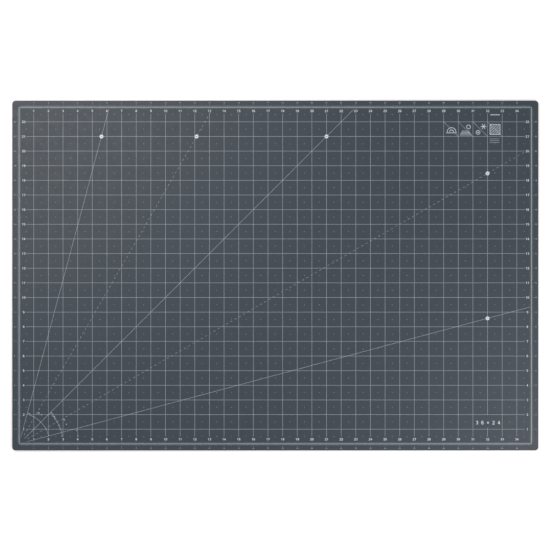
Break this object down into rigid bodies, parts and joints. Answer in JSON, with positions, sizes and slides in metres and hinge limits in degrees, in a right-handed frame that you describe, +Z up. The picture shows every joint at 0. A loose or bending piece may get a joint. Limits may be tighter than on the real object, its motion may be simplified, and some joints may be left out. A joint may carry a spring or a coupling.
{
  "type": "self healing cutting mat",
  "caption": "Large rectangular self healing cutting mat of bonded plies, printed with an inch grid, border rulers, bias lines and a corner protractor.",
  "frame": {"origin": "middle of the underside, where the mat rests on a table", "axes": "+X along the long side, to the right as the print reads; +Y along the short side, to the top of the print; +Z up out of the printed face"},
  "size_m": [0.913, 0.607, 0.003],
  "materials": {
    "top_skin": "matte fine-grained soft PVC, dark slate",
    "bottom_skin": "matte fine-grained soft PVC, dark slate",
    "filler_ply": "matte soft PVC, near black",
    "rigid_core": "matte rigid PVC, dark grey",
    "grid_ink": "matte screen ink, pale blue grey, slightly translucent",
    "border_ink": "matte screen ink, pale blue white",
    "numeral_ink": "matte screen ink, pale blue white",
    "margin_ink": "matte screen ink, pale blue white",
    "fine_ink": "matte screen ink in fine lines, pale blue white",
    "marker_ink": "matte screen ink, pale blue white",
    "figure_ink": "matte screen ink, pale blue white"
  },
  "bodies": {
    "root": {"bottom_skin": "bottom_skin", "lower_filler_ply": "filler_ply", "rigid_core": "rigid_core", "upper_filler_ply": "filler_ply", "top_skin": "top_skin", "border_ruler_bottom": "border_ink", "inner_numbers_bottom": "numeral_ink", "margin_numbers_bottom": "margin_ink", "border_ruler_top": "border_ink", "inner_numbers_top": "numeral_ink", "margin_numbers_top": "margin_ink", "border_ruler_left": "border_ink", "inner_numbers_left": "numeral_ink", "margin_numbers_left": "margin_ink", "border_ruler_right": "border_ink", "inner_numbers_right": "numeral_ink", "margin_numbers_right": "margin_ink", "grid_columns": "grid_ink", "grid_rows": "grid_ink", "half_inch_crosses": "fine_ink", "bias_line_15": "grid_ink", "bias_line_30": "grid_ink", "bias_line_45": "grid_ink", "bias_line_60": "grid_ink", "bias_line_75": "grid_ink", "angle_markers": "marker_ink", "protractor_numbers": "fine_ink", "protractor_inner_arc": "fine_ink", "protractor_outer_arc": "fine_ink", "protractor_ticks": "fine_ink", "protractor_dots": "fine_ink", "figure_slashes": "figure_ink", "figure_arches": "figure_ink", "figure_pile": "figure_ink", "figure_star": "figure_ink", "figure_hatched": "figure_ink", "caption_bars": "figure_ink", "size_label": "figure_ink"}
  },
  "joints": []
}
